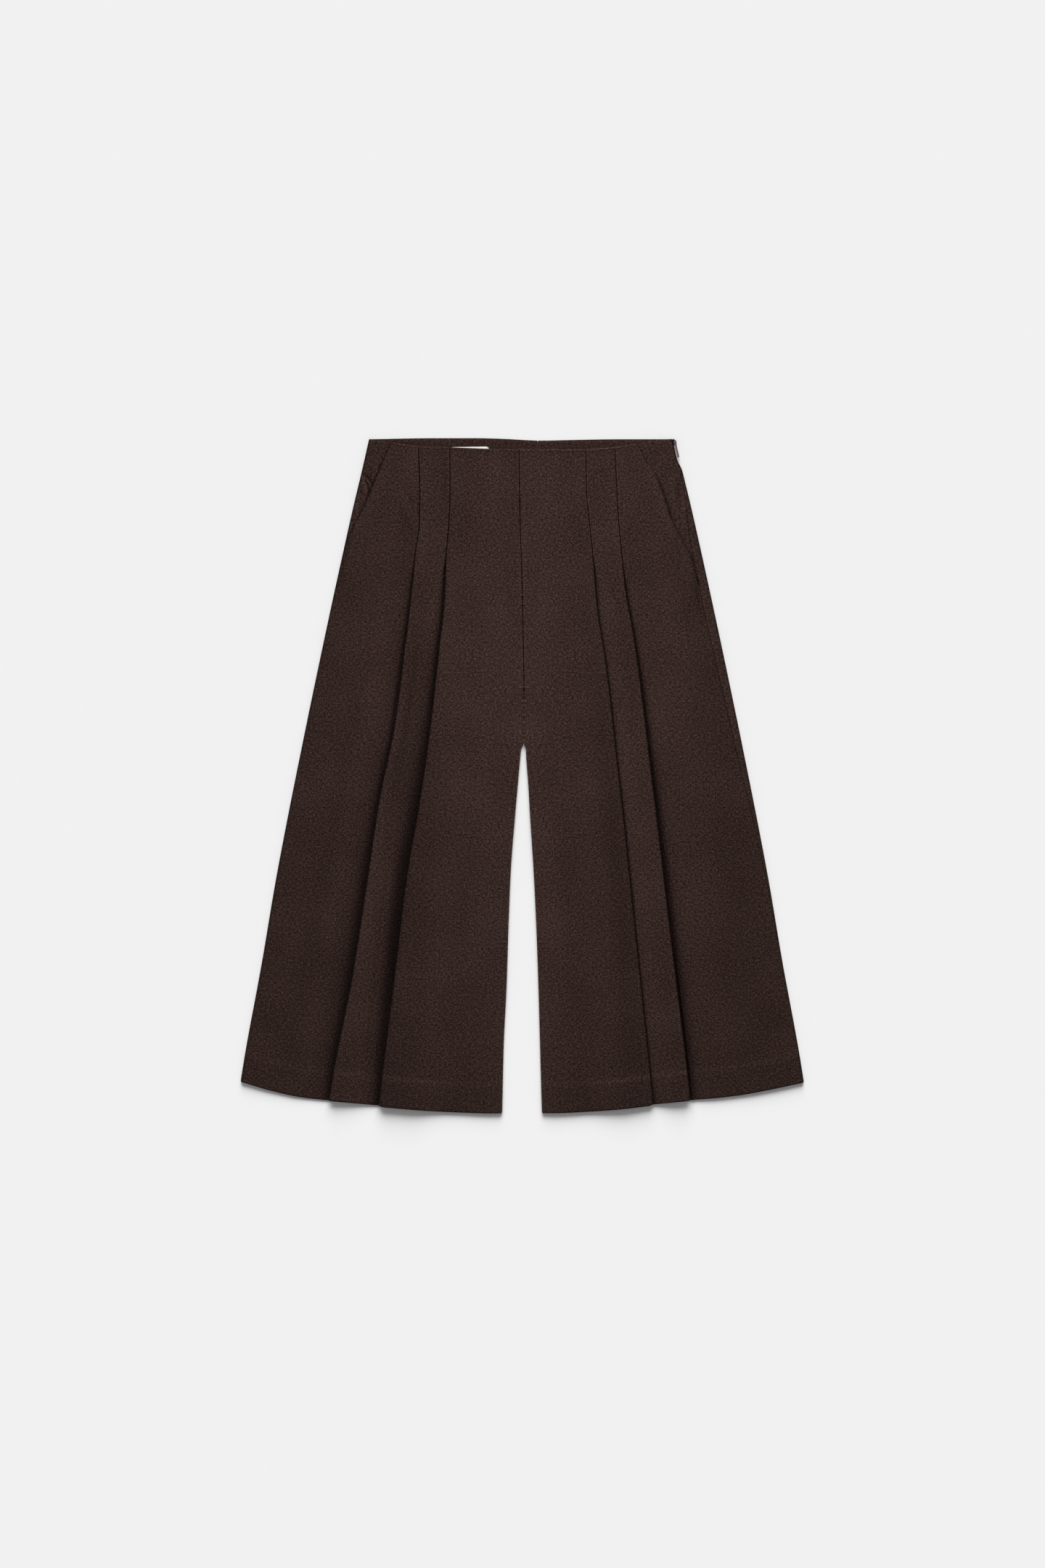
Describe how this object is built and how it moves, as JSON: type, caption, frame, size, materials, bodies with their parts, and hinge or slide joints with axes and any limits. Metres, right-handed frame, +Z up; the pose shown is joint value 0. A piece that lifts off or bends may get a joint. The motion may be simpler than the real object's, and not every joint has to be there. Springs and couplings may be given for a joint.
{
  "type": "bermuda shorts",
  "caption": "Wide knee-length pleated shorts laid flat, with knife pleats, slanted pockets and a concealed side zip.",
  "frame": {"origin": "on the surface that the shorts lie on, under the middle of their outline", "axes": "+Y towards the waist, +Z up out of the front of the shorts, so the wearer's right is at -X"},
  "size_m": [0.6442, 0.7718, 0.0138],
  "materials": {
    "wool_cloth": "fine brown wool twill with a soft melange and a slight sheen",
    "facing_cloth": "smooth dark brown facing cloth",
    "label_satin": "plain white satin, unprinted",
    "zip_tape": "matte dark brown tape and coil",
    "zip_enamel": "dark brown enamel, semi-gloss",
    "pull_metal": "grey-beige lacquered metal, semi-gloss"
  },
  "bodies": {
    "garment": {"back_right": "wool_cloth", "back_left": "wool_cloth", "front_right": "wool_cloth", "front_left": "wool_cloth", "pocket_facing_right": "wool_cloth", "pocket_facing_left": "wool_cloth", "waist_facing_right": "facing_cloth", "waist_facing_left": "facing_cloth", "blank_label": "label_satin", "zip_chain": "zip_tape", "zip_slider": "zip_enamel"},
    "zip_pull_tab": {"zip_pull": "pull_metal"}
  },
  "joints": [
    {"name": "zip_pull_swing", "type": "hinge", "parent": "garment", "child": "zip_pull_tab", "pos_m": [0.17469, 0.38121, 0.0044], "axis": [-0.4882, -0.1079, 0.866], "range_deg": [0, 165]}
  ]
}
